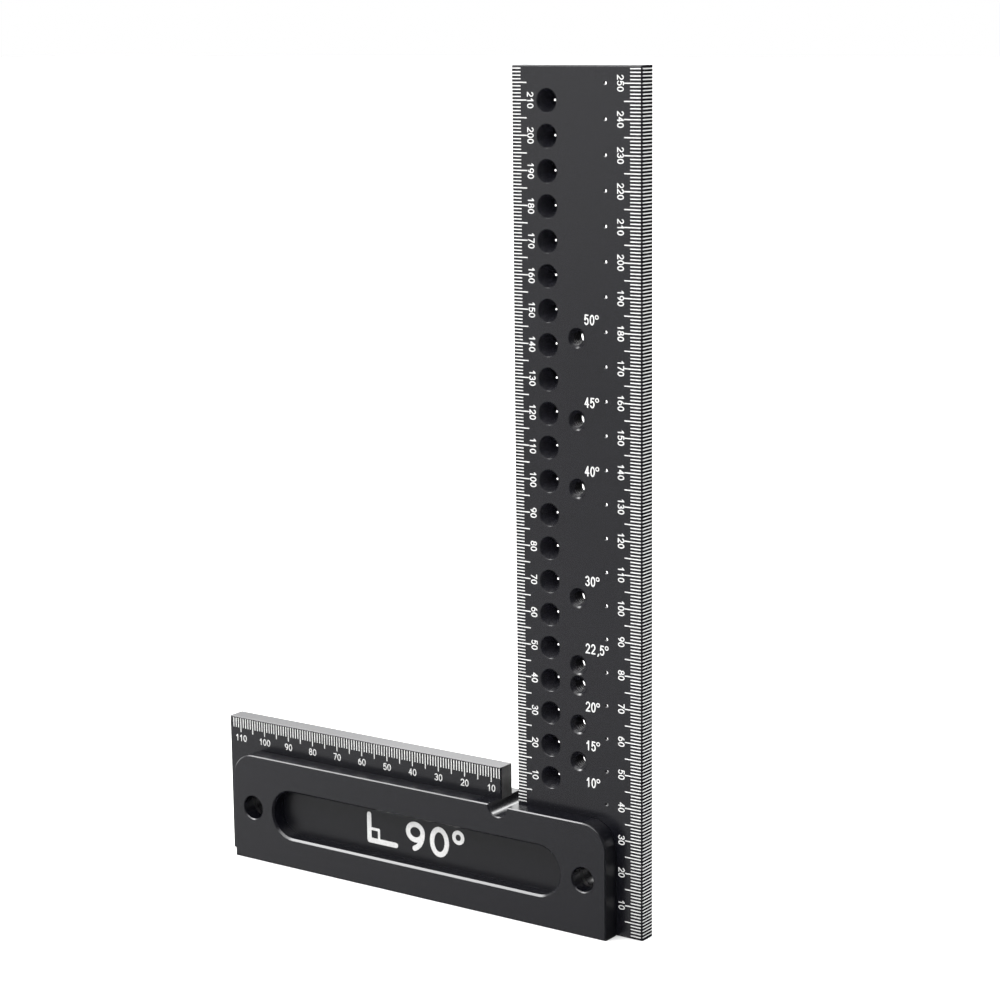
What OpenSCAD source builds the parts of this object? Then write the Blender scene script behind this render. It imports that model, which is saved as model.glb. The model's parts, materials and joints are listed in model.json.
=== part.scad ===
// Try square: an L-shaped graduated blade between two stock cheeks.
// The blade stands upright, the stock lies along X, and the square rests on the stock's lower edge.
// Origin: middle of the lower face. +Z up the blade, -Y is the graduated front.

/* [Blade] */
// Width of the upright blade
blade_width = 44; // [40:1:50]
// Overall height of the blade
blade_height = 255; // [252:1:300]
// Overall width, from the arm's free end to the blade's outer edge
overall_width = 158.5; // [154:0.5:180]
// Height of the arm that the stock is built on
arm_height = 45; // [42:1:50]
// Thickness of the blade plate
blade_thickness = 6; // [5:0.5:8]
// Small bevel along the blade's edges
blade_bevel = 0.4; // [0.2:0.1:0.6]
// Finer bevel along the inner edge, the arm's free end and the arm's top
fine_bevel = 0.15; // [0.05:0.05:0.2]

/* [Stock] */
// Height of the stock cheeks
stock_height = 35; // [34:0.5:36]
// Thickness of each stock cheek
cheek_thickness = 6; // [6:0.5:8]
// Step between the arm's free end and the cheeks
stock_end_step = 6; // [4:0.5:8]
// Part of the blade's outer edge that the cheeks leave clear
stock_blade_step = 9; // [8:0.5:10]
// Radius of the cheeks' upper corners
stock_corner_r = 8; // [6:0.5:9]
// Bevel round the cheeks' outer edges
stock_bevel = 0.3; // [0.2:0.05:0.6]
// Bevel round the cheeks' edges where they meet the blade
stock_joint_bevel = 0.2; // [0.1:0.1:0.3]
// Diameter of the through hole at each end of the stock
end_hole_d = 7.5; // [5:0.5:8]
// Distance of the end holes from the cheeks' ends
end_hole_inset = 8; // [7:0.5:9]

/* [Pocket] */
// Length of the oblong pocket in the front cheek, at its walls
pocket_length = 110.8; // [80:0.4:112]
// Width of the pocket at its walls
pocket_width = 15.4; // [10:0.2:16]
// Depth of the pocket
pocket_depth = 5; // [2:0.5:5]
// Bevel round the pocket's mouth
pocket_bevel = 0.6; // [0.4:0.1:1]

/* [Corner relief] */
// Width of the slot between the arm's end and the blade's inner edge
relief_width = 6.3; // [5:0.1:6.5]
// Diameter of the half-round notch below it, through all three plates
notch_d = 7; // [6:0.5:8]
// Distance of the notch's middle from the line of the blade's inner edge
notch_inset = 3.6; // [3.5:0.1:4]

/* [Marking holes] */
// Number of pencil holes up the blade
marking_count = 21; // [10:1:21]
// Distance between the pencil holes, along the scale
marking_pitch = 10; // [10:1:12]
// Distance of the pencil holes from the blade's inner edge
marking_inset = 12; // [8:0.5:13]
// Diameter of a pencil hole's mouth
marking_mouth_d = 6.9; // [5:0.1:7.5]
// Diameter of a pencil hole at its narrow neck
marking_tip_d = 0.65; // [0.6:0.05:1.5]
// Depth of a pencil hole's cone, down to the neck
marking_cone_depth = 4.3; // [3.5:0.1:4.5]
// Diameter of the relief that opens from the neck to the rear face
marking_back_d = 3.6; // [2:0.1:4.5]

/* [Angle holes] */
// Angles that a stop pin can set, in degrees
angle_list = [50, 45, 40, 30, 22.5, 20, 15, 10];
// Diameter of the stop pin that screws into an angle hole
stop_pin_d = 10; // [8:0.5:12]
// Tap-drill diameter of the angle holes (5 mm for M6)
angle_hole_d = 5; // [4:0.1:5.2]
// Diameter of the bevel at an angle hole's mouth
angle_mouth_d = 6; // [5.4:0.1:6.4]

/* [Rear pencil holes] */
// First scale value with a rear pencil hole beside it
scale_hole_first = 40; // [40:10:100]
// Last scale value with a rear pencil hole beside it
scale_hole_last = 250; // [150:10:250]
// Distance of the rear pencil holes from the blade's outer edge
scale_hole_inset = 12.25; // [11:0.25:14]
// Diameter of a rear pencil hole where it comes out at the front
scale_hole_d = 1.1; // [0.8:0.1:1.5]
// Length of that narrow neck
scale_hole_neck = 1; // [0.6:0.1:1.5]
// Diameter of a rear pencil hole's mouth
scale_hole_mouth_d = 8; // [5:0.1:8.5]

/* [Fixings] */
// Distance of the screw rows from the stock's long edges
screw_row_inset = 6; // [5:0.5:6.5]
// Distance between the screw columns
screw_column_pitch = 60; // [50:1:60]
// Nominal diameter of the screws
screw_d = 3; // [2.5:0.5:3]
// Length of the screws, head included
screw_length = 16; // [14:1:16]
// Diameter of the countersunk head
screw_head_d = 6; // [5.5:0.1:6]
// Width across the flats of the hex socket
screw_socket_af = 2; // [1.5:0.1:2]
// Diameter of the dowels
dowel_d = 4; // [3:0.5:4]
// Length of the dowels
dowel_length = 14; // [12:0.5:15]
// Distance of each dowel from the stock's middle
dowel_offset = 45; // [40:1:48]

/* [Hidden] */

$fn = 64;
eps = 0.01;                       // overshoot that keeps cuts clean
far = 400;                        // longer than the whole square
fit_gap = 0.05;                   // radial gap round screws and dowels
marking_neck = 0.2;               // length of a pencil hole's neck
mouth_break = 0.1;                // broken edge at a pencil hole's mouth
hex_sides = 6;

// Places along X
outer_x = overall_width / 2;
inner_x = outer_x - blade_width;
free_x = -outer_x;
stock_left = free_x + stock_end_step;
stock_right = outer_x - stock_blade_step;
stock_mid = (stock_left + stock_right) / 2;
notch_x = inner_x - notch_inset;
arm_end_x = inner_x - relief_width;

// Places along Y
blade_front = -blade_thickness / 2;
blade_back = blade_thickness / 2;
front_face = blade_front - cheek_thickness;
rear_face = blade_back + cheek_thickness;

// Places along Z
stock_mid_z = stock_height / 2;

// A stop pin and the stock's rounded corner touch the same straight board edge.
corner_x = stock_left + stock_corner_r;
corner_z = stock_height - stock_corner_r;
angle_x = (inner_x + outer_x) / 2;
function angle_z(a) =
    corner_z + (angle_x - corner_x) * tan(a) + (stock_corner_r - stop_pin_d / 2) / cos(a);

// Screws, countersunk at 90 degrees into the rear cheek
head_below_face = 0.1;
head_height = (screw_head_d - screw_d) / 2;
socket_depth = 1.1;
socket_d = screw_socket_af / cos(180 / hex_sides);
screw_clearance_d = screw_d + 0.3;
screw_hole_depth = cheek_thickness - 1.2;
screw_places = [
    for (row = [screw_row_inset, stock_height - screw_row_inset])
        for (column = [-1, 0, 1]) [stock_mid + column * screw_column_pitch, row]
];

// Dowels, blind in both cheeks
dowel_places = [for (side = [-1, 1]) [stock_mid + side * dowel_offset, screw_row_inset]];
dowel_bevel = 0.4;
dowel_end_gap = 0.1;

blade_colour = [0.16, 0.16, 0.17];
cheek_colour = [0.14, 0.14, 0.15];
screw_colour = [0.22, 0.22, 0.23];
dowel_colour = [0.72, 0.73, 0.75];

// Cylinder along Y, starting at y and running backwards
module rod(x, z, d, y, length) {
    translate([x, y, z]) rotate([-90, 0, 0]) cylinder(d = d, h = length);
}

// Cone along Y, from one diameter to another
module cone(x, z, d_start, d_end, y, length) {
    translate([x, y, z]) rotate([-90, 0, 0]) cylinder(d1 = d_start, d2 = d_end, h = length);
}

// Bevel at a hole's mouth on a front face, widening towards -Y
module front_mouth(x, z, d, bevel, face) {
    cone(x, z, d + 2 * (bevel + eps), d, face - eps, bevel + eps);
}

// The same on a rear face, widening towards +Y
module rear_mouth(x, z, d, bevel, face) {
    cone(x, z, d, d + 2 * (bevel + eps), face - bevel, bevel + eps);
}

// Rectangle in plan with bevelled corners, as [across, depth] points.
// low_share and high_share scale the two bevels on the low and the high side.
function bevelled_outline(low, high, front, back, front_bevel, back_bevel, low_share = 1, high_share = 1) = [
    [low + front_bevel * low_share, front], [high - front_bevel * high_share, front],
    [high, front + front_bevel * high_share], [high, back - back_bevel * high_share],
    [high - back_bevel * high_share, back], [low + back_bevel * low_share, back],
    [low, back - back_bevel * low_share], [low, front + front_bevel * low_share]
];

// Flat bar standing in the XZ plane, bevelled along its four edges on each face.
// left_share and top_share scale the bevels of those two edges.
module bar(x_low, x_high, z_low, z_high, front, back, front_bevel, back_bevel,
           left_share = 1, top_share = 1) {
    plan = bevelled_outline(x_low, x_high, front, back, front_bevel, back_bevel, left_share);
    side = bevelled_outline(z_low, z_high, front, back, front_bevel, back_bevel, 1, top_share);
    intersection() {
        translate([0, 0, z_low])
            linear_extrude(z_high - z_low)
                polygon(plan);
        translate([x_low, 0, 0])
            rotate([90, 0, 90])
                linear_extrude(x_high - x_low)
                    polygon([for (p = side) [p[1], p[0]]]);
    }
}

// Half-round notch in a cheek's upper edge, with bevelled rims where a bevel is given
module notch(front, back, front_bevel, back_bevel) {
    rod(notch_x, stock_height, notch_d, front - eps, back - front + 2 * eps);
    if (front_bevel > 0)
        front_mouth(notch_x, stock_height, notch_d, front_bevel, front);
    if (back_bevel > 0)
        rear_mouth(notch_x, stock_height, notch_d, back_bevel, back);
}

// Slot in the blade plate, open at the top, bevelled along its upright edges, with the notch at its foot
module relief_slot() {
    intersection() {
        rod(notch_x, stock_height, notch_d, blade_front - eps, blade_thickness + 2 * eps);
        translate([notch_x - notch_d, blade_front - 2 * eps, stock_height - notch_d])
            cube([2 * notch_d, blade_thickness + 4 * eps, notch_d + eps]);
    }
    translate([0, 0, stock_height])
        linear_extrude(far)
            polygon([
                [arm_end_x - blade_bevel - eps, blade_front - eps],
                [inner_x + fine_bevel + eps, blade_front - eps],
                [inner_x, blade_front + fine_bevel],
                [inner_x, blade_back - fine_bevel],
                [inner_x + fine_bevel + eps, blade_back + eps],
                [arm_end_x - blade_bevel - eps, blade_back + eps],
                [arm_end_x, blade_back - blade_bevel],
                [arm_end_x, blade_front + blade_bevel]
            ]);
}

// Rounded upper corner of a cheek; side is -1 at the free end and +1 at the blade
module cheek_corner(x, side, front, back, front_bevel, back_bevel) {
    length = back - front;
    intersection() {
        union() {
            rod(x, corner_z, 2 * stock_corner_r, front + front_bevel, length - front_bevel - back_bevel);
            if (front_bevel > 0)
                cone(x, corner_z, 2 * (stock_corner_r - front_bevel), 2 * stock_corner_r, front, front_bevel);
            if (back_bevel > 0)
                cone(x, corner_z, 2 * stock_corner_r, 2 * (stock_corner_r - back_bevel),
                    back - back_bevel, back_bevel);
        }
        translate([side > 0 ? x : x - stock_corner_r, front, corner_z])
            cube([stock_corner_r, length, stock_corner_r]);
    }
}

// Cheek plate without its holes
module cheek(front, back, front_bevel, back_bevel) {
    difference() {
        bar(stock_left, stock_right, 0, stock_height, front, back, front_bevel, back_bevel);
        translate([stock_left - eps, front - eps, corner_z])
            cube([stock_corner_r + eps, back - front + 2 * eps, far]);
        translate([stock_right - stock_corner_r, front - eps, corner_z])
            cube([stock_corner_r + eps, back - front + 2 * eps, far]);
    }
    cheek_corner(stock_left + stock_corner_r, -1, front, back, front_bevel, back_bevel);
    cheek_corner(stock_right - stock_corner_r, 1, front, back, front_bevel, back_bevel);
}

module end_holes(front, back) {
    for (x = [stock_left + end_hole_inset, stock_right - end_hole_inset])
        rod(x, stock_mid_z, end_hole_d, front - eps, back - front + 2 * eps);
}

// Upright or arm of the blade plate, from x_low to the outer edge
module blade_bar(x_low, height, top_share) {
    fine = fine_bevel / blade_bevel;
    bar(x_low, outer_x, 0, height, blade_front, blade_back, blade_bevel, blade_bevel, fine, top_share);
}

// Blade plate with its arm
module blade() {
    color(blade_colour)
        difference() {
            union() {
                blade_bar(inner_x, blade_height, 1);
                blade_bar(free_x, arm_height, fine_bevel / blade_bevel);
            }
            relief_slot();
            end_holes(blade_front, blade_back);
            marking_holes();
            angle_holes();
            scale_holes();
            for (p = screw_places)
                rod(p[0], p[1], screw_clearance_d, blade_front - eps, blade_thickness + 2 * eps);
            for (p = dowel_places)
                rod(p[0], p[1], dowel_d + 2 * fit_gap, blade_front - eps, blade_thickness + 2 * eps);
        }
}

// Pencil holes: a cone from the front to a short neck, then a small relief to the rear
module marking_holes() {
    x = inner_x + marking_inset;
    neck = blade_front + marking_cone_depth;
    relief = neck + marking_neck;
    for (i = [1 : marking_count]) {
        z = stock_height + i * marking_pitch;
        cone(x, z, marking_mouth_d, marking_tip_d, blade_front - eps, marking_cone_depth + eps);
        front_mouth(x, z, marking_mouth_d - mouth_break, mouth_break, blade_front);
        rod(x, z, marking_tip_d, neck - eps, marking_neck + 2 * eps);
        cone(x, z, marking_tip_d, marking_back_d, relief, blade_back - relief + eps);
    }
}

// Threaded holes at the tap-drill diameter, bevelled on both faces
module angle_holes() {
    bevel = (angle_mouth_d - angle_hole_d) / 2;
    for (a = angle_list) {
        rod(angle_x, angle_z(a), angle_hole_d, blade_front - eps, blade_thickness + 2 * eps);
        front_mouth(angle_x, angle_z(a), angle_hole_d, bevel, blade_front);
        rear_mouth(angle_x, angle_z(a), angle_hole_d, bevel, blade_back);
    }
}

// Pencil holes for the flipped square: a narrow neck at the front that opens to the rear
module scale_holes() {
    x = outer_x - scale_hole_inset;
    neck = blade_front + scale_hole_neck;
    for (z = [scale_hole_first : 10 : scale_hole_last]) {
        rod(x, z, scale_hole_d, blade_front - eps, scale_hole_neck + 2 * eps);
        cone(x, z, scale_hole_d, scale_hole_mouth_d, neck, blade_back - neck + eps);
    }
}

// Oblong pocket with round ends and a bevelled mouth
module pocket() {
    half = (pocket_length - pocket_width) / 2;
    mouth = pocket_width / 2 + pocket_bevel + eps;
    for (side = [-1, 1]) {
        rod(stock_mid + side * half, stock_mid_z, pocket_width, front_face - eps, pocket_depth + eps);
        front_mouth(stock_mid + side * half, stock_mid_z, pocket_width, pocket_bevel, front_face);
    }
    translate([stock_mid - half, front_face - eps, stock_mid_z - pocket_width / 2])
        cube([2 * half, pocket_depth + eps, pocket_width]);
    translate([stock_mid - half, 0, stock_mid_z])
        rotate([90, 0, 90])
            linear_extrude(2 * half)
                polygon([
                    [front_face - eps, -mouth], [front_face - eps, mouth],
                    [front_face + pocket_bevel, pocket_width / 2],
                    [front_face + pocket_bevel, -pocket_width / 2]
                ]);
}

// Cheek in front of the arm
module front_stock_plate() {
    color(cheek_colour)
        difference() {
            cheek(front_face, blade_front, stock_bevel, stock_joint_bevel);
            notch(front_face, blade_front, stock_bevel, 0);
            end_holes(front_face, blade_front);
            for (x = [stock_left + end_hole_inset, stock_right - end_hole_inset])
                front_mouth(x, stock_mid_z, end_hole_d, stock_bevel, front_face);
            pocket();
            for (p = screw_places)
                rod(p[0], p[1], screw_d + 2 * fit_gap, blade_front - screw_hole_depth, screw_hole_depth + eps);
            for (p = dowel_places)
                dowel_seat(p, blade_front - dowel_reach());
        }
}

// How far a dowel, with its end gap, goes into each cheek
function dowel_reach() = (dowel_length - blade_thickness) / 2 + dowel_end_gap;

// Blind hole for a dowel, dowel_reach() deep
module dowel_seat(p, y) {
    rod(p[0], p[1], dowel_d + 2 * fit_gap, y - eps, dowel_reach() + 2 * eps);
}

// Cheek behind the arm, countersunk for the screws
module rear_stock_plate() {
    sink_d = screw_head_d + 2 * fit_gap + 2 * head_below_face;
    sink_depth = (sink_d - screw_clearance_d) / 2;
    color(cheek_colour)
        difference() {
            cheek(blade_back, rear_face, stock_joint_bevel, stock_bevel);
            notch(blade_back, rear_face, 0, stock_bevel);
            end_holes(blade_back, rear_face);
            for (x = [stock_left + end_hole_inset, stock_right - end_hole_inset])
                rear_mouth(x, stock_mid_z, end_hole_d, stock_bevel, rear_face);
            for (p = screw_places) {
                rod(p[0], p[1], screw_clearance_d, blade_back - eps, cheek_thickness + 2 * eps);
                rear_mouth(p[0], p[1], screw_clearance_d, sink_depth, rear_face);
            }
            for (p = dowel_places)
                dowel_seat(p, blade_back);
        }
}

// Countersunk screw with a hex socket, head at the rear
module stock_screw(p) {
    top = rear_face - head_below_face;
    color(screw_colour)
        difference() {
            union() {
                rod(p[0], p[1], screw_d, top - screw_length, screw_length - head_height);
                cone(p[0], p[1], screw_d, screw_head_d, top - head_height, head_height);
            }
            translate([p[0], top - socket_depth, p[1]])
                rotate([-90, 0, 0])
                    cylinder(d = socket_d, h = socket_depth + eps, $fn = hex_sides);
        }
}

// Ground dowel with bevelled ends, centred in the blade's thickness
module dowel(p) {
    start = -dowel_length / 2;
    color(dowel_colour) {
        cone(p[0], p[1], dowel_d - 2 * dowel_bevel, dowel_d, start, dowel_bevel);
        rod(p[0], p[1], dowel_d, start + dowel_bevel, dowel_length - 2 * dowel_bevel);
        cone(p[0], p[1], dowel_d, dowel_d - 2 * dowel_bevel, -start - dowel_bevel, dowel_bevel);
    }
}

blade();
front_stock_plate();
rear_stock_plate();
stock_screw(screw_places[0]);  // stock_screw_1
stock_screw(screw_places[1]);  // stock_screw_2
stock_screw(screw_places[2]);  // stock_screw_3
stock_screw(screw_places[3]);  // stock_screw_4
stock_screw(screw_places[4]);  // stock_screw_5
stock_screw(screw_places[5]);  // stock_screw_6
dowel(dowel_places[0]);  // dowel_1
dowel(dowel_places[1]);  // dowel_2
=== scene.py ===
import json
import math
from functools import cache
from itertools import product

import bpy
from mathutils import Matrix, Vector
from mathutils.geometry import delaunay_2d_cdt

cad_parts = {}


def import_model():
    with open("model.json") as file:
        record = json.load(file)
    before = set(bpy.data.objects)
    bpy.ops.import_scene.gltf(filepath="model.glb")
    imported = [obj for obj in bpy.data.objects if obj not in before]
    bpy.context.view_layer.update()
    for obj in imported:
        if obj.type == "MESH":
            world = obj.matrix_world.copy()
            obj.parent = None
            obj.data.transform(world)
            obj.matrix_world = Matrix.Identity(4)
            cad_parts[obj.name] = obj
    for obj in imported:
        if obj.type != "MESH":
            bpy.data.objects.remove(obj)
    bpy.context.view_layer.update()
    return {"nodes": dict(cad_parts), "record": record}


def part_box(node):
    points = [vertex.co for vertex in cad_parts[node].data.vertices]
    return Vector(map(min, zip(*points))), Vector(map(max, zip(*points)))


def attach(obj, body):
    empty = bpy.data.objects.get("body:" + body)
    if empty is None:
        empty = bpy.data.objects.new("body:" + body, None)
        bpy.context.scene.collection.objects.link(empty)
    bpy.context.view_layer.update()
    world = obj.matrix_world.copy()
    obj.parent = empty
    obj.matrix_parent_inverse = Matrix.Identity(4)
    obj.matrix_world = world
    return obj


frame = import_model()
NODES = frame["nodes"]
MM = 0.001
scene = bpy.context.scene


# Places, read from the frame -------------------------------------------------

MOUNTS = {m["name"]: m for m in frame["record"]["mounts"]}


def surface(node, start, direction):
    """Where a ray from start (mm) first meets a CAD node, in mm."""
    hit, place, _, _ = NODES[node].ray_cast(Vector(start) * MM, Vector(direction))
    assert hit, f"no surface of {node} from {start}"
    return place / MM


RAY_ROOM = 10             # how far in front of the stock a ray starts
ARM_SPOT = 20             # distance from the arm's free end at which its top is found

blade_low, blade_high = (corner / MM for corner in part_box("blade"))
cheek_low, cheek_high = (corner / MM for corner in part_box("front_stock_plate"))
FREE_X = blade_low.x
OUTER_X = blade_high.x
INNER_X = MOUNTS["blade_inner_edge"]["pos_m"][0] / MM
FRONT_Y = blade_low.y
BACK_Y = blade_high.y
TOP_Z = blade_high.z
STOCK_Z = cheek_high.z
STOCK_MID_X = (cheek_low.x + cheek_high.x) / 2
STOCK_MID_Z = STOCK_Z / 2
ARM_Z = surface("blade", (FREE_X + ARM_SPOT, 0, TOP_Z), (0, 0, -1)).z
POCKET_Y = surface("front_stock_plate", (STOCK_MID_X, cheek_low.y - RAY_ROOM, STOCK_MID_Z), (0, 1, 0)).y

EDGE_BEVEL = 0.4          # along the blade's outer edge
FINE_BEVEL = 0.15         # along the blade's inner edge and round the arm

ANGLE_HOLES = []
for name, mount in MOUNTS.items():
    if name.startswith("angle_holes"):
        x, _, z = (c / MM for c in mount["pos_m"])
        half = mount["dims"]["spacing_y_mm"] / 2
        ANGLE_HOLES += [(x, z + half), (x, z - half)]
ANGLE_HOLES.sort(key=lambda hole: -hole[1])
ANGLE_NAMES = ["50", "45", "40", "30", "22,5", "20", "15", "10"]
ANGLE_HOLE_R = MOUNTS["angle_holes_50_45"]["dims"]["hole_r_mm"]


# Materials -------------------------------------------------------------------

NOISE_LOW = 0.3           # noise lies mostly between these two values
NOISE_HIGH = 0.7


def new_material(name):
    """A node material, with its tree and its Principled shader."""
    material = bpy.data.materials.new(name)
    material.use_nodes = True
    tree = material.node_tree
    shader = tree.nodes["Principled BSDF"]
    return material, tree, shader


def add(tree, kind, links=(), **values):
    """A new node; links are (input name, output socket) pairs, and values set inputs or properties."""
    node = tree.nodes.new(kind)
    for key, value in values.items():
        if key in node.inputs:
            node.inputs[key].default_value = value
        else:
            setattr(node, key, value)
    for key, socket in links:
        tree.links.new(socket, node.inputs[key])
    return node


def noise(tree, where, scale, detail=2.0, roughness=0.5):
    """The factor of a noise, from 0 to 1."""
    node = add(
        tree, "ShaderNodeTexNoise", [("Vector", where)],
        Scale=scale, Detail=detail, Roughness=roughness,
    )
    return node.outputs["Fac"]


def ramp(tree, factor, low, high, start=NOISE_LOW, end=NOISE_HIGH):
    """The colour low up to start, high past end, and a blend of the two in between."""
    node = add(tree, "ShaderNodeValToRGB", [("Fac", factor)])
    for stop, position, colour in zip(node.color_ramp.elements, (start, end), (low, high)):
        stop.position = position
        stop.color = (*colour, 1)
    return node.outputs["Color"]


def step(tree, value, start, end, low=0, high=1, smooth=False):
    """low before start, high past end, and a slope in between; start may be the greater of the two."""
    node = add(tree, "ShaderNodeMapRange", [("Value", value)])
    if smooth:
        node.interpolation_type = "SMOOTHSTEP"
    node.inputs["From Min"].default_value = start
    node.inputs["From Max"].default_value = end
    node.inputs["To Min"].default_value = low
    node.inputs["To Max"].default_value = high
    return node.outputs["Result"]


def spread(tree, factor, low, high):
    """Turns a noise into a number between low and high."""
    return step(tree, factor, NOISE_LOW, NOISE_HIGH, low, high)


def bump(tree, height, distance):
    node = add(tree, "ShaderNodeBump", [("Height", height)], Distance=distance, Strength=1.0)
    return node.outputs["Normal"]


def maths(tree, operation, a, b):
    """a and b combined; b is a socket or a number."""
    node = add(tree, "ShaderNodeMath", [(0, a)], operation=operation)
    if isinstance(b, (int, float)):
        node.inputs[1].default_value = b
    else:
        tree.links.new(b, node.inputs[1])
    return node.outputs["Value"]


# Where the cheeks' rougher, milled parts fade in, as (start, end) distances in mm
FLOOR_FADE = (0.3, 0.1)       # in front of the pocket's floor
POCKET_FADE = (8.5, 9)        # below the upper faces, so that only the pocket counts
FACE_FADE = (0.02, 0.2)       # behind the front cheek's face
END_FADE = (8.5, 7.5)         # from the cheeks' right end
UPPER_FADE = (0.3, 0.15)      # below the upper faces
BLADE_FADE = (12, 15)         # left of the blade's inner edge


def milled_parts(tree, where):
    """1 on the pocket's floor, the cheeks' right end and most of their upper faces, 0 elsewhere."""
    place = add(tree, "ShaderNodeSeparateXYZ", [("Vector", where)]).outputs

    def past(axis, edge, fade, side):
        """1 where the fade, on one side of an edge, has ended."""
        start, end = ((edge + side * distance) * MM for distance in fade)
        return step(tree, place[axis], start, end)

    deep = past("Y", POCKET_Y, FLOOR_FADE, -1)
    below = past("Z", STOCK_Z, POCKET_FADE, -1)
    behind = past("Y", cheek_low.y, FACE_FADE, 1)
    right = past("X", cheek_high.x, END_FADE, -1)
    high = past("Z", STOCK_Z, UPPER_FADE, -1)
    left = past("X", INNER_X, BLADE_FADE, -1)
    pocket = maths(tree, "MULTIPLY", deep, below)
    edges = maths(tree, "MAXIMUM", right, maths(tree, "MULTIPLY", high, left))
    return maths(tree, "MAXIMUM", pocket, maths(tree, "MULTIPLY", behind, edges))


ANODISED_ROUGHNESS = (0.23, 0.27)
ANODISED_IOR = 1.62
CLOUD_SCALE = 28          # noise scales count features to the metre
GRAIN_SCALE = 7000
GRAIN_DEPTH = 0.0012      # bump depths are in mm


def anodised(name, low, high, milled_extra=0):
    """Black anodised aluminium: a fine satin grain, with faint cloudy changes of tone and gloss.

    milled_extra is the roughness that the cheeks' milled parts have on top.
    """
    material, tree, shader = new_material(name)
    where = add(tree, "ShaderNodeTexCoord").outputs["Object"]
    cloud = noise(tree, where, CLOUD_SCALE, detail=3)
    fine = noise(tree, where, GRAIN_SCALE, detail=1)
    tree.links.new(ramp(tree, cloud, low, high), shader.inputs["Base Color"])
    rough = spread(tree, cloud, *ANODISED_ROUGHNESS)
    if milled_extra:
        extra = maths(tree, "MULTIPLY", milled_parts(tree, where), milled_extra)
        rough = maths(tree, "ADD", rough, extra)
    tree.links.new(rough, shader.inputs["Roughness"])
    tree.links.new(bump(tree, fine, GRAIN_DEPTH * MM), shader.inputs["Normal"])
    shader.inputs["IOR"].default_value = ANODISED_IOR
    return material


TOOL_LINE_DEPTH = 0.003
STEEL_CLOUD_SCALE = 90


def tool_lines(tree, shader, coords, stretch, roughness):
    """Makes a shader a machined metal; stretch sets the lines' scale along each axis. Returns the lines."""
    where = add(tree, "ShaderNodeMapping", [("Vector", coords)], Scale=stretch).outputs["Vector"]
    lines = noise(tree, where, 1.0, detail=3)
    tree.links.new(spread(tree, lines, *roughness), shader.inputs["Roughness"])
    tree.links.new(bump(tree, lines, TOOL_LINE_DEPTH * MM), shader.inputs["Normal"])
    shader.inputs["Metallic"].default_value = 1.0
    return lines


def machined_steel(name, low, high, roughness, stretch):
    """Machined steel: fine tool lines, and faint clouds of a lighter tone."""
    material, tree, shader = new_material(name)
    coords = add(tree, "ShaderNodeTexCoord").outputs["Object"]
    tool_lines(tree, shader, coords, stretch, roughness)
    cloud = noise(tree, coords, STEEL_CLOUD_SCALE, detail=2)
    tree.links.new(ramp(tree, cloud, low, high), shader.inputs["Base Color"])
    return material


# The foot tone is painted shade at the foot of the arm's end; the upper tone is bare aluminium
PAINTED_SHADE_FOOT_TONE = (0.10, 0.10, 0.10)
UPPER_TONE = (0.90, 0.90, 0.89)
TONE_RANGE = (0.1, 1.0)   # sums of painted shade rise and streak that give the two tones
PAINTED_SHADE_SHARE = 0.8
STREAK_SHARE = 0.4
PAINTED_SHADE_TOP = 3              # distance below the arm's top at which the painted shade ends


def milled_end(name):
    """Bare milled aluminium with upright tool lines, and painted shade that darkens it towards the foot."""
    material, tree, shader = new_material(name)
    coords = add(tree, "ShaderNodeTexCoord").outputs["Object"]
    lines = tool_lines(tree, shader, coords, stretch=(700, 2600, 160), roughness=(0.38, 0.55))
    height = add(tree, "ShaderNodeSeparateXYZ", [("Vector", coords)]).outputs["Z"]
    # Painted shade: the colour darkens from the arm's top down to the stock
    painted_shade_rise = maths(tree, "MULTIPLY", step(tree, height, STOCK_Z * MM, (ARM_Z - PAINTED_SHADE_TOP) * MM), PAINTED_SHADE_SHARE)
    streak = maths(tree, "MULTIPLY", lines, STREAK_SHARE)
    # tone holds the painted shade and the real tool-line streaks together
    tone = maths(tree, "ADD", painted_shade_rise, streak)
    tree.links.new(ramp(tree, tone, PAINTED_SHADE_FOOT_TONE, UPPER_TONE, *TONE_RANGE), shader.inputs["Base Color"])
    return material


SPOT_SCALE = 1400
SPOT_DEPTH = 0.004


def white_mark(name, low, high, roughness):
    """Laser-marked white: slightly uneven where the beam passed."""
    material, tree, shader = new_material(name)
    where = add(tree, "ShaderNodeTexCoord").outputs["Object"]
    uneven = noise(tree, where, SPOT_SCALE, detail=3, roughness=0.6)
    tree.links.new(ramp(tree, uneven, low, high), shader.inputs["Base Color"])
    tree.links.new(spread(tree, uneven, *roughness), shader.inputs["Roughness"])
    tree.links.new(bump(tree, uneven, SPOT_DEPTH * MM), shader.inputs["Normal"])
    return material


BLADE = anodised(
    "blade_anodised_look",
    low=(0.0032, 0.0033, 0.0052), high=(0.0042, 0.0043, 0.0064),
)
CHEEK = anodised(
    "cheek_anodised_look",
    low=(0.0030, 0.0031, 0.0050), high=(0.0040, 0.0041, 0.0062),
    milled_extra=0.12,
)
SCREW = machined_steel(
    "screw_black_look",
    low=(0.035, 0.035, 0.037), high=(0.055, 0.055, 0.058),
    roughness=(0.32, 0.45), stretch=(900, 300, 900),
)
DOWEL = machined_steel(
    "dowel_steel_look",
    low=(0.52, 0.53, 0.55), high=(0.60, 0.61, 0.63),
    roughness=(0.18, 0.30), stretch=(400, 4000, 400),
)
# Bare milled aluminium for the arm's end, with painted shade towards its foot
MILLED_END_PAINTED_SHADE = milled_end("arm_end_painted_shade_look")
WHITE = white_mark(
    "white_marking_look",
    low=(0.45, 0.45, 0.445), high=(0.55, 0.55, 0.545),
    roughness=(0.5, 0.7),
)


def dress(node, material):
    for slot in NODES[node].material_slots:
        slot.material = material


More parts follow.
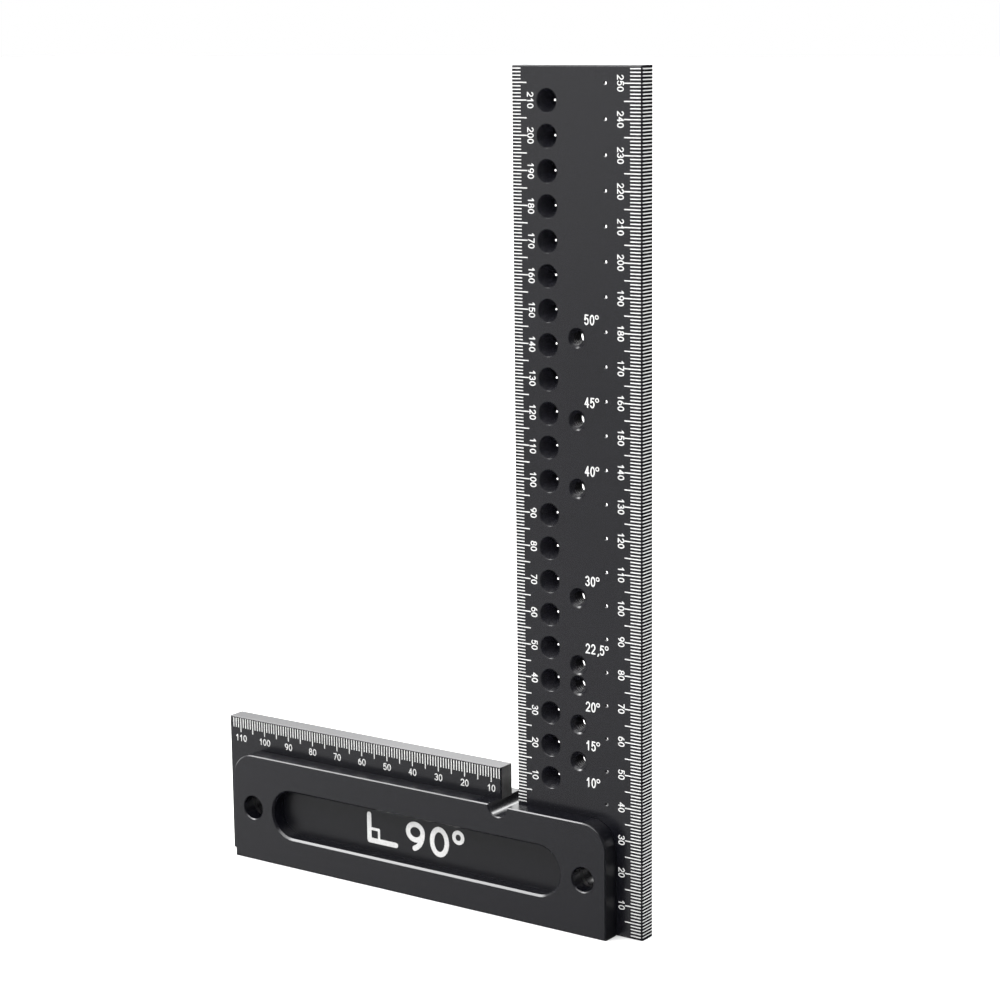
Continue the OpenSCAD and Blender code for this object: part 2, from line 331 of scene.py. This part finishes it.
dress("blade", BLADE)
dress("front_stock_plate", CHEEK)
dress("rear_stock_plate", CHEEK)
for name in NODES:
    if name.startswith("stock_screw"):
        dress(name, SCREW)
    if name.startswith("dowel"):
        dress(name, DOWEL)


# Markings: flat shapes on a plane, as thin closed solids ----------------------

PROUD = 0.012             # how far a marking stands out of its surface
SUNK = 0.01               # how far it reaches in, so that no two faces coincide


def plane(origin, across, up):
    """Matrix from a marking's own (across, up, out) millimetres to the frame's metres."""
    u = Vector(across)
    v = Vector(up)
    axes = Matrix((u, v, u.cross(v))).transposed().to_4x4()
    return Matrix.Scale(MM, 4) @ Matrix.Translation(Vector(origin)) @ axes


FRONT = plane((0, FRONT_Y, 0), (1, 0, 0), (0, 0, 1))
OUTER = plane((OUTER_X, 0, 0), (0, 1, 0), (0, 0, 1))
POCKET = plane((0, POCKET_Y, 0), (1, 0, 0), (0, 0, 1))


def rectangle(u_low, u_high, v_low, v_high):
    points = [(u_low, v_low), (u_high, v_low), (u_high, v_high), (u_low, v_high)]
    return points, [(0, 1, 2, 3)]


def piece(name, verts, faces, material, smooth=False):
    """A mesh piece on the square's one rigid body."""
    mesh = bpy.data.meshes.new(name)
    mesh.from_pydata(verts, [], faces)
    mesh.validate()
    mesh.update()
    mesh.materials.append(material)
    for polygon in mesh.polygons:
        polygon.use_smooth = smooth
    made = bpy.data.objects.new(name, mesh)
    scene.collection.objects.link(made)
    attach(made, "root")
    return made


def markings(name, shapes, where):
    """Thin closed solids from flat shapes, each a list of points and a list of cells."""
    verts = []
    faces = []
    for points, cells in shapes:
        top = len(verts)
        under = top + len(points)
        verts += [where @ Vector((u, v, PROUD)) for u, v in points]
        verts += [where @ Vector((u, v, -SUNK)) for u, v in points]
        edges = {(a, b) for cell in cells for a, b in zip(cell, cell[1:] + cell[:1])}
        faces += [[top + i for i in cell] for cell in cells]
        faces += [[under + i for i in reversed(cell)] for cell in cells]
        for a, b in sorted(edges):
            if (b, a) not in edges:
                faces.append([top + b, top + a, under + a, under + b])
    return piece(name, verts, faces, WHITE)


# Numerals: round-ended strokes in a unit box, joined into one outline ---------

ARC_STEP = 15             # degrees between two points of an arc
CAP_ANGLES = [math.radians(angle) for angle in (60, 30, 0, -30, -60)]
COMMA_SHARE = 0.55        # a comma's width as a share of a digit's
DEGREE_RADIUS = 0.17      # a degree sign's radius as a share of a digit's height
DEGREE_DROP = 0.3         # how far it hangs below a digit's top, as a share of the stroke
DEGREE_HALF = 0.38        # half the width of its line, as a share of the stroke


def arc(x, y, rx, ry, start, end):
    """Points along an ellipse, angles in degrees."""
    steps = max(4, round(abs(end - start) / ARC_STEP))
    angles = [math.radians(start + (end - start) * i / steps) for i in range(steps + 1)]
    return [(x + rx * math.cos(a), y + ry * math.sin(a)) for a in angles]


def loop(x, y, rx, ry):
    """A whole ellipse, as two strokes that overlap at their ends."""
    return [arc(x, y, rx, ry, 80, 280), arc(x, y, rx, ry, -100, 100)]


def turned(strokes):
    """Strokes turned half round in their unit box."""
    return [[(1 - x, 1 - y) for x, y in stroke] for stroke in strokes]


SIX = loop(0.5, 0.31, 0.5, 0.31) + [arc(0.82, 0.31, 0.82, 0.69, 180, 108)]
GLYPHS = {
    "0": loop(0.5, 0.5, 0.5, 0.5),
    "1": [[(0.62, 0), (0.62, 1)], [(0.62, 1), (0.2, 0.72)]],
    "2": [arc(0.5, 0.70, 0.48, 0.30, 165, -35), [(0.893, 0.528), (0.0, 0.0)], [(0, 0), (1, 0)]],
    "3": [arc(0.48, 0.76, 0.44, 0.24, 155, -90), arc(0.48, 0.26, 0.5, 0.26, 90, -155)],
    "4": [[(0.72, 1), (0, 0.3)], [(0, 0.3), (1, 0.3)], [(0.72, 1), (0.72, 0)]],
    "5": [[(0.9, 1), (0.16, 1)], [(0.16, 1), (0.08, 0.5)], arc(0.47, 0.33, 0.5, 0.33, 142, -150)],
    "6": SIX,
    "7": [[(0, 1), (1, 1)], [(1, 1), (0.34, 0)]],
    "8": loop(0.5, 0.76, 0.42, 0.24) + loop(0.5, 0.27, 0.5, 0.27),
    "9": turned(SIX),
    ",": [[(0.5, 0.02), (0.25, -0.2)]],
}


def cap(centre, radius, middle):
    """The points of a round end; middle is the direction it faces, in radians."""
    x, y = centre
    return [(x + radius * math.cos(middle + a), y + radius * math.sin(middle + a)) for a in CAP_ANGLES]


def band(path, half):
    """Outline of a round-ended stroke along a smooth path."""
    left = []
    right = []
    for i, (x, y) in enumerate(path):
        before = path[max(i - 1, 0)]
        after = path[min(i + 1, len(path) - 1)]
        angle = math.atan2(after[1] - before[1], after[0] - before[0])
        left.append((x - half * math.sin(angle), y + half * math.cos(angle)))
        right.append((x + half * math.sin(angle), y - half * math.cos(angle)))
        if i == 0:
            start = angle
        end = angle
    outline = left + cap(path[-1], half, end) + right[::-1] + cap(path[0], -half, start)
    return outline[::-1]


INSIDE_TRIANGLES = 1      # the triangulation gives only the triangles inside an outline
SAME_POINT = 1e-5         # points nearer than this become one


def joined(outlines):
    """One flat shape covering all the outlines, as points and triangles."""
    points = [Vector(p) for outline in outlines for p in outline]
    cells = []
    for outline in outlines:
        first = sum(len(c) for c in cells)
        cells.append(list(range(first, first + len(outline))))
    verts, _, faces, _, _, inside = delaunay_2d_cdt(points, [], cells, INSIDE_TRIANGLES, SAME_POINT)
    kept = [tuple(face) for face, ids in zip(faces, inside) if ids]
    used = sorted({i for face in kept for i in face})
    number = {old: new for new, old in enumerate(used)}
    return [tuple(verts[i]) for i in used], [tuple(number[i] for i in face) for face in kept]


@cache
def glyph(character, width, height, weight):
    """A character as a flat shape, its lower left corner at 0, 0."""
    if character == "°":
        radius = DEGREE_RADIUS * height
        strokes = loop(radius, height - radius - weight * DEGREE_DROP, radius, radius)
        return joined([band(stroke, weight * DEGREE_HALF) for stroke in strokes])
    strokes = [
        [(weight / 2 + x * (width - weight), weight / 2 + y * (height - weight)) for x, y in stroke]
        for stroke in GLYPHS[character]
    ]
    return joined([band(stroke, weight / 2) for stroke in strokes])


def word(text, at, width, height, weight, gap, turn=0, align="middle"):
    """Shapes of a line of characters. at is its middle, or its left end half-way up; turn is in degrees."""
    advances = [width * (COMMA_SHARE if c == "," else 1) + gap for c in text]
    start = -(sum(advances) - gap) / 2 if align == "middle" else 0
    angle = math.radians(turn)
    shapes = []
    for character, advance in zip(text, advances):
        points, cells = glyph(character, width, height, weight)
        placed = []
        for x, y in points:
            u = x + start
            v = y - height / 2
            across = at[0] + u * math.cos(angle) - v * math.sin(angle)
            up = at[1] + u * math.sin(angle) + v * math.cos(angle)
            placed.append((across, up))
        shapes.append((placed, cells))
        start += advance
    return shapes


# The scales -------------------------------------------------------------------

TICK = 0.33               # width of a division line
OUTER_TICKS = dict(short=3.5, long=5.5)
INNER_TICKS = dict(short=3.1, long=5.1)
ARM_TICKS = dict(short=3.6, long=5.1)
ARM_TICK_DROP = 0.45      # how far below the arm's top the divisions start
ARM_FIRST = 7             # first division of the arm, past the corner relief
DIGIT = dict(width=1.42, height=2.25, weight=0.33, gap=0.2)
OUTER_NUMBERS = 7.1       # distance of the numbers' middles from the edge they belong to
INNER_NUMBERS = 6.4
ARM_NUMBERS = 7.0
LABEL = dict(width=1.6, height=3.05, weight=0.41, gap=0.3)
LABEL_RIGHT = 2.5         # from an angle hole's middle to its label's left end
LABEL_ABOVE = 5.5         # from the hole's middle to the middle of a label above it
LABEL_BELOW = 5.9         # the same for a label below it
LOW_ANGLE = 20            # labels up to this angle are below their holes


def tick_length(value, short, long):
    return long if value % 5 == 0 else short


def outer_scale():
    edge = OUTER_X - EDGE_BEVEL
    front = []
    side = []
    numbers = []
    for z in range(1, round(TOP_Z)):
        front.append(rectangle(edge - tick_length(z, **OUTER_TICKS), edge, z - TICK / 2, z + TICK / 2))
        side.append(rectangle(FRONT_Y + EDGE_BEVEL, BACK_Y - EDGE_BEVEL, z - TICK / 2, z + TICK / 2))
        if z % 10 == 0:
            numbers += word(str(z), (OUTER_X - OUTER_NUMBERS, z), turn=-90, **DIGIT)
    markings("outer_scale_ticks", front, FRONT)
    markings("outer_scale_edge_ticks", side, OUTER)
    markings("outer_scale_numbers", numbers, FRONT)


def inner_scale():
    edge = INNER_X + FINE_BEVEL
    ticks = []
    numbers = []
    for value in range(1, round(TOP_Z - STOCK_Z)):
        z = STOCK_Z + value
        far = INNER_X + tick_length(value, **INNER_TICKS)
        ticks.append(rectangle(edge, far, z - TICK / 2, z + TICK / 2))
        if value % 10 == 0:
            numbers += word(str(value), (INNER_X + INNER_NUMBERS, z), turn=-90, **DIGIT)
    markings("inner_scale_ticks", ticks, FRONT)
    markings("inner_scale_numbers", numbers, FRONT)


def arm_scale():
    top = ARM_Z - ARM_TICK_DROP
    ticks = []
    numbers = []
    for value in range(ARM_FIRST, round(INNER_X - FREE_X)):
        x = INNER_X - value
        foot = ARM_Z - tick_length(value, **ARM_TICKS)
        ticks.append(rectangle(x - TICK / 2, x + TICK / 2, foot, top))
        if value % 10 == 0:
            numbers += word(str(value), (x, ARM_Z - ARM_NUMBERS), **DIGIT)
    markings("arm_scale_ticks", ticks, FRONT)
    markings("arm_scale_numbers", numbers, FRONT)


def angle_labels():
    shapes = []
    for name, (x, z) in zip(ANGLE_NAMES, ANGLE_HOLES):
        angle = float(name.replace(",", "."))
        up = LABEL_ABOVE if angle > LOW_ANGLE else -LABEL_BELOW
        shapes += word(name + "°", (x + LABEL_RIGHT, z + up), align="left", **LABEL)
    markings("angle_labels", shapes, FRONT)


MARK_LEFT = 20            # distance of the pocket mark's left end from the stock's middle
MARK_VALUE = dict(width=7.4, height=9.8, weight=1.7, gap=1.9)
VALUE_RIGHT = 14.5        # distance of its value from its left end
SIGN_WIDTH = 10.5         # the right-angle sign, between the middles of its lines
SIGN_HALF_HEIGHT = 4.2
SIGN_SQUARE = 3.8         # side of the small square in its corner
SIGN_HALF_LINE = 0.85
SQUARE_HALF_LINE = 0.45


def pocket_mark():
    """A plain right-angle sign and its value, in the middle of the pocket."""
    left = STOCK_MID_X - MARK_LEFT
    foot = STOCK_MID_Z - SIGN_HALF_HEIGHT
    top = STOCK_MID_Z + SIGN_HALF_HEIGHT
    across = left + SIGN_SQUARE
    up = foot + SIGN_SQUARE
    value = word("90°", (left + VALUE_RIGHT, STOCK_MID_Z), align="left", **MARK_VALUE)
    sign = joined([
        band([(left, foot), (left + SIGN_WIDTH, foot)], SIGN_HALF_LINE),
        band([(left, top), (left, foot)], SIGN_HALF_LINE),
        band([(left, up), (across, up)], SQUARE_HALF_LINE),
        band([(across, up), (across, foot)], SQUARE_HALF_LINE),
    ])
    markings("pocket_mark", value + [sign], POCKET)


outer_scale()
inner_scale()
arm_scale()
angle_labels()
pocket_mark()


# Threads of the angle holes ----------------------------------------------------

SKIN = 0.01               # how far the sleeve lies behind the CAD hole's wall, and in front of it
THREAD_OUTER = ANGLE_HOLE_R + SKIN
THREAD_ROOT = ANGLE_HOLE_R - SKIN
THREAD_HEIGHT = 0.62
THREAD_PITCH = 1.0
THREAD_PHASE = 0.25       # share of a pitch by which the thread starts ahead
CREST_END = 0.25          # shares of the way from a crest's middle to a root's
ROOT_START = 0.875
RUN_OUT = 0.15            # length over which the thread fades in and out
MOUTH = 0.5               # depth of the bevel at each mouth
AROUND = 48               # points round the sleeve
ALONG = 54                # steps along it


def thread_radius(turn, depth, length):
    """Inner radius of the thread at a share of a turn and a depth into the hole."""
    phase = (depth / THREAD_PITCH - turn + THREAD_PHASE) % 1
    away = abs(phase - 0.5) * 2
    ridge = min(1, max(0, (ROOT_START - away) / (ROOT_START - CREST_END)))
    fade = min(1, depth / RUN_OUT, (length - depth) / RUN_OUT)
    return THREAD_ROOT - THREAD_HEIGHT * ridge * max(0, fade)


def thread(name, x, z):
    """A thin threaded sleeve that lines one angle hole."""
    start = FRONT_Y + MOUTH
    length = BACK_Y - FRONT_Y - 2 * MOUTH
    verts = []
    for shell in ("inner", "outer"):
        for j in range(ALONG + 1):
            depth = length * j / ALONG
            for i in range(AROUND):
                turn = i / AROUND
                radius = thread_radius(turn, depth, length) if shell == "inner" else THREAD_OUTER
                angle = 2 * math.pi * turn
                across = x + radius * math.cos(angle)
                up = z + radius * math.sin(angle)
                verts.append(Vector((across, start + depth, up)) * MM)
    faces = []
    shell_size = AROUND * (ALONG + 1)
    for here in range(0, ALONG * AROUND, AROUND):
        there = here + AROUND
        for i in range(AROUND):
            k = (i + 1) % AROUND
            faces.append([here + i, here + k, there + k, there + i])
            faces.append([shell_size + n for n in (here + i, there + i, there + k, here + k)])
    last = ALONG * AROUND
    for i in range(AROUND):
        k = (i + 1) % AROUND
        faces.append([i, shell_size + i, shell_size + k, k])
        faces.append([last + i, last + k, shell_size + last + k, shell_size + last + i])
    return piece(name, verts, faces, BLADE, smooth=True)


for name, (x, z) in zip(ANGLE_NAMES, ANGLE_HOLES):
    thread("thread_" + name.replace(",", "_"), x, z)


# The arm's end, milled bare where the slot was cut, with painted shade towards its foot ------

SLOT_SPOT = (INNER_X - 0.5, 0, STOCK_Z + 5)    # a place inside the slot
ARM_END_X = surface("blade", SLOT_SPOT, (-1, 0, 0)).x
LINING = 0.01             # how far the lining stands off the CAD surface, and reaches in


def box_piece(name, low, high, material):
    """A thin closed box between two corners in mm."""
    verts = [Vector(corner) * MM for corner in product(*zip(low, high))]
    faces = [(0, 1, 3, 2), (4, 6, 7, 5), (0, 4, 5, 1), (2, 3, 7, 6), (0, 2, 6, 4), (1, 5, 7, 3)]
    return piece(name, verts, faces, material)


# A bare lining on the arm's end whose colour holds painted shade towards the foot
box_piece(
    "arm_end_milling_painted_shade",
    (ARM_END_X - LINING, FRONT_Y + EDGE_BEVEL, STOCK_Z),
    (ARM_END_X + LINING, BACK_Y - EDGE_BEVEL, ARM_Z - FINE_BEVEL),
    MILLED_END_PAINTED_SHADE,
)


# Stage: floor, light and camera ---------------------------------------------------

FLOOR_HALF = 12.0         # half the floor's side, in metres
FLOOR_CLOUD_SCALE = 3


def floor():
    """A matt white floor that glossy surfaces don't see."""
    points, cells = rectangle(-FLOOR_HALF, FLOOR_HALF, -FLOOR_HALF, FLOOR_HALF)
    mesh = bpy.data.meshes.new("floor")
    mesh.from_pydata([(x, y, 0) for x, y in points], [], cells)
    made = bpy.data.objects.new("floor", mesh)
    scene.collection.objects.link(made)
    material, tree, shader = new_material("floor_look")
    where = add(tree, "ShaderNodeTexCoord").outputs["Object"]
    cloud = noise(tree, where, FLOOR_CLOUD_SCALE, detail=2)
    tone = ramp(tree, cloud, (0.86, 0.86, 0.86), (0.88, 0.88, 0.88))
    tree.links.new(tone, shader.inputs["Base Color"])
    shader.inputs["Roughness"].default_value = 0.9
    shader.inputs["Specular IOR Level"].default_value = 0.0
    mesh.materials.append(material)
    made.visible_glossy = False


def toward(azimuth, elevation):
    """A direction: azimuth in degrees from the front (-Y) towards the left, elevation above the horizon."""
    a = math.radians(azimuth)
    e = math.radians(elevation)
    return Vector((-math.sin(a) * math.cos(e), -math.cos(a) * math.cos(e), math.sin(e)))


def lobe(tree, direction, azimuth, elevation, inner, outer):
    """1 within the inner angle of a direction, fading to 0 at the outer angle, in degrees."""
    dot = add(tree, "ShaderNodeVectorMath", [(0, direction)], operation="DOT_PRODUCT")
    dot.inputs[1].default_value = toward(azimuth, elevation).normalized()
    start = math.cos(math.radians(outer))
    end = math.cos(math.radians(inner))
    return step(tree, dot.outputs["Value"], start, end, smooth=True)


def mix(tree, factor, a, b):
    """a at factor 0 and b at factor 1; each is a socket or a number."""
    node = add(tree, "ShaderNodeMix", [("Factor", factor)], data_type="FLOAT")
    for key, value in (("A", a), ("B", b)):
        if isinstance(value, (int, float)):
            node.inputs[key].default_value = value
        else:
            tree.links.new(value, node.inputs[key])
    return node.outputs["Result"]


# Brightness of the low front-left wall against the sine of the elevation
WALL = [
    (-0.50, 0.03),
    (-0.345, 0.48),
    (-0.28, 0.72),
    (-0.16, 0.38),
    (-0.09, 0.50),
    (-0.03, 1.3),
    (0.02, 1.3),
    (0.12, 0.22),
]
WALL_LOBE = (46, -5, 30, 52)          # azimuth, elevation, inner and outer angle
BELOW_LEVEL = 0.03                    # brightness far below the horizon
ABOVE_LEVEL = 0.26                    # brightness of all that is higher
HORIZON_FADE = (-0.55, -0.30)         # sines of the elevations between which one becomes the other
# Dark sides of the studio: azimuth, elevation, inner and outer angle, brightness
DARK_SIDES = [
    (-72, -8, 42, 72, 0.08),
    (-145, -8, 22, 50, 0.05),
]
# Lights of the studio as reflections show them: azimuth, elevation, inner and outer angle, strength
GLOWS = [
    (47, -15, 3, 11, 0.3),
    (165, 28, 20, 36, 2.5),
    (66, 46, 4, 17, 12),
    (42, 50, 4, 16, 5),
    (18, 50, 4, 16, 5),
    (-8, 48, 4, 16, 4),
    (114, 52, 6, 15, 12),
    (105, 12, 12, 28, 1.6),
    (-170, 40, 3, 10, 12),
]


def world():
    """Plain white to the camera; to everything else a studio with a bright wall, lights and dark sides."""
    made = bpy.data.worlds.new("studio")
    made.use_nodes = True
    tree = made.node_tree
    background = tree.nodes["Background"]
    direction = add(tree, "ShaderNodeTexCoord").outputs["Generated"]
    height = add(tree, "ShaderNodeSeparateXYZ", [("Vector", direction)]).outputs["Z"]
    low = WALL[0][0]
    high = WALL[-1][0]
    wall = add(tree, "ShaderNodeValToRGB", [("Fac", step(tree, height, low, high))])
    stops = wall.color_ramp.elements
    while len(stops) < len(WALL):
        stops.new(0.5)
    for stop, (sine, level) in zip(stops, WALL):
        stop.position = (sine - low) / (high - low)
        stop.color = (level, level, level, 1)
    level = mix(tree, step(tree, height, *HORIZON_FADE, smooth=True), BELOW_LEVEL, ABOVE_LEVEL)
    level = mix(tree, lobe(tree, direction, *WALL_LOBE), level, wall.outputs["Color"])
    for *place, brightness in DARK_SIDES:
        level = mix(tree, lobe(tree, direction, *place), level, brightness)
    for *place, strength in GLOWS:
        glow = maths(tree, "MULTIPLY", lobe(tree, direction, *place), strength)
        level = maths(tree, "ADD", level, glow)
    seen = add(tree, "ShaderNodeLightPath").outputs["Is Camera Ray"]
    tree.links.new(mix(tree, seen, level, 1.0), background.inputs["Strength"])
    background.inputs["Color"].default_value = (1, 1, 1, 1)
    scene.world = made


def sun(name, direction, strength, width):
    """A very soft distant light that leaves no reflection of its own."""
    light = bpy.data.lights.new(name, "SUN")
    light.energy = strength
    light.angle = math.radians(width)
    made = bpy.data.objects.new(name, light)
    made.rotation_mode = "QUATERNION"
    made.rotation_quaternion = (-direction).to_track_quat("-Z", "Y")
    made.visible_glossy = False
    scene.collection.objects.link(made)


CAMERA_LENS = 92.227      # focal length, on a 36 mm sensor
CAMERA_PLACE = (0.46060, -0.61246, 0.27013)
CAMERA_RIGHT = Vector((0.81757827, 0.57572501, -0.01031863))
CAMERA_UP = Vector((-0.09971122, 0.15920216, 0.98219771))


def camera():
    """The main view: from the front right, a little above the blade's top, looking slightly down."""
    data = bpy.data.cameras.new("camera")
    data.sensor_width = 36
    data.lens = CAMERA_LENS
    data.clip_start = 0.01
    data.clip_end = 100
    made = bpy.data.objects.new("camera", data)
    axes = Matrix((CAMERA_RIGHT, CAMERA_UP, CAMERA_RIGHT.cross(CAMERA_UP))).transposed().to_4x4()
    made.matrix_world = Matrix.Translation(CAMERA_PLACE) @ axes
    scene.collection.objects.link(made)
    scene.camera = made


floor()
world()
sun("overhead_light", toward(0, 90), strength=2.8, width=110)
sun("front_light", toward(-20, 35), strength=1.3, width=60)
camera()
scene.view_settings.view_transform = "Standard"
scene.view_settings.look = "None"
scene.view_settings.exposure = 0
scene.view_settings.gamma = 1
